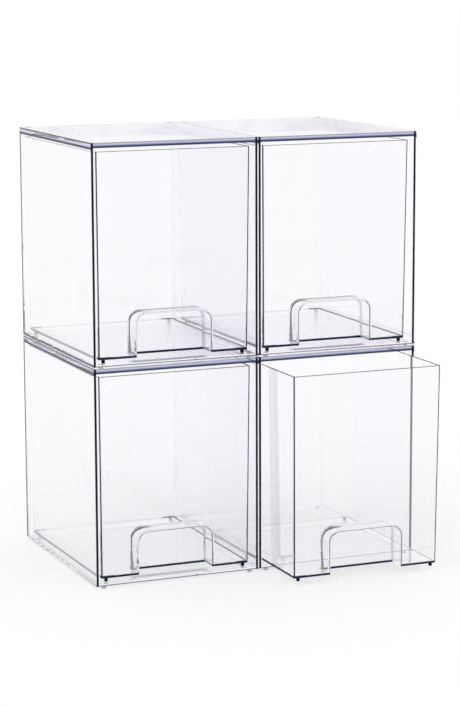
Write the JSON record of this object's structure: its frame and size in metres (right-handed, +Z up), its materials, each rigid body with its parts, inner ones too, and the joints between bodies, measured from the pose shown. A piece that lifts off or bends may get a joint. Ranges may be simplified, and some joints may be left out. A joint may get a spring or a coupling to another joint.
{
  "type": "stacking clear makeup drawer set",
  "caption": "Clear acrylic makeup organizer: stacked open-front cases in two columns, each with a clear slide-out drawer and an arched finger recess.",
  "frame": {"origin": "middle of the whole footprint, pulled-out drawer included, on the surface that the feet stand on", "axes": "+Z up, -Y towards the user, so drawers open along -Y, +X to the user's right"},
  "size_m": [0.267, 0.224, 0.337],
  "materials": {
    "clear_case": "clear, polished",
    "clear_drawer": "clear, polished",
    "clear_feet": "clear, smooth"
  },
  "bodies": {
    "lower_cases": {"lower_left_case": "clear_case", "lower_left_case_feet": "clear_feet", "lower_right_case": "clear_case", "lower_right_case_feet": "clear_feet"},
    "upper_left_unit": {"upper_left_case": "clear_case", "upper_left_case_feet": "clear_feet"},
    "upper_right_unit": {"upper_right_case": "clear_case", "upper_right_case_feet": "clear_feet"},
    "upper_left_drawer_body": {"upper_left_drawer": "clear_drawer", "upper_left_drawer_feet": "clear_feet"},
    "upper_right_drawer_body": {"upper_right_drawer": "clear_drawer", "upper_right_drawer_feet": "clear_feet"},
    "lower_left_drawer_body": {"lower_left_drawer": "clear_drawer", "lower_left_drawer_feet": "clear_feet"},
    "lower_right_drawer_body": {"lower_right_drawer": "clear_drawer", "lower_right_drawer_feet": "clear_feet"}
  },
  "joints": [
    {"name": "upper_left_lift", "type": "slide", "parent": "lower_cases", "child": "upper_left_unit", "axis": [0, 0, 1], "range_m": [0, 0.06]},
    {"name": "upper_right_lift", "type": "slide", "parent": "lower_cases", "child": "upper_right_unit", "axis": [0, 0, 1], "range_m": [0, 0.06]},
    {"name": "upper_left_drawer_slide", "type": "slide", "parent": "upper_left_unit", "child": "upper_left_drawer_body", "axis": [0, -1, 0], "range_m": [0, 0.13]},
    {"name": "upper_right_drawer_slide", "type": "slide", "parent": "upper_right_unit", "child": "upper_right_drawer_body", "axis": [0, -1, 0], "range_m": [0, 0.13]},
    {"name": "lower_left_drawer_slide", "type": "slide", "parent": "lower_cases", "child": "lower_left_drawer_body", "axis": [0, -1, 0], "range_m": [0, 0.13]},
    {"name": "lower_right_drawer_slide", "type": "slide", "parent": "lower_cases", "child": "lower_right_drawer_body", "axis": [0, -1, 0], "range_m": [-0.058, 0.072]}
  ]
}
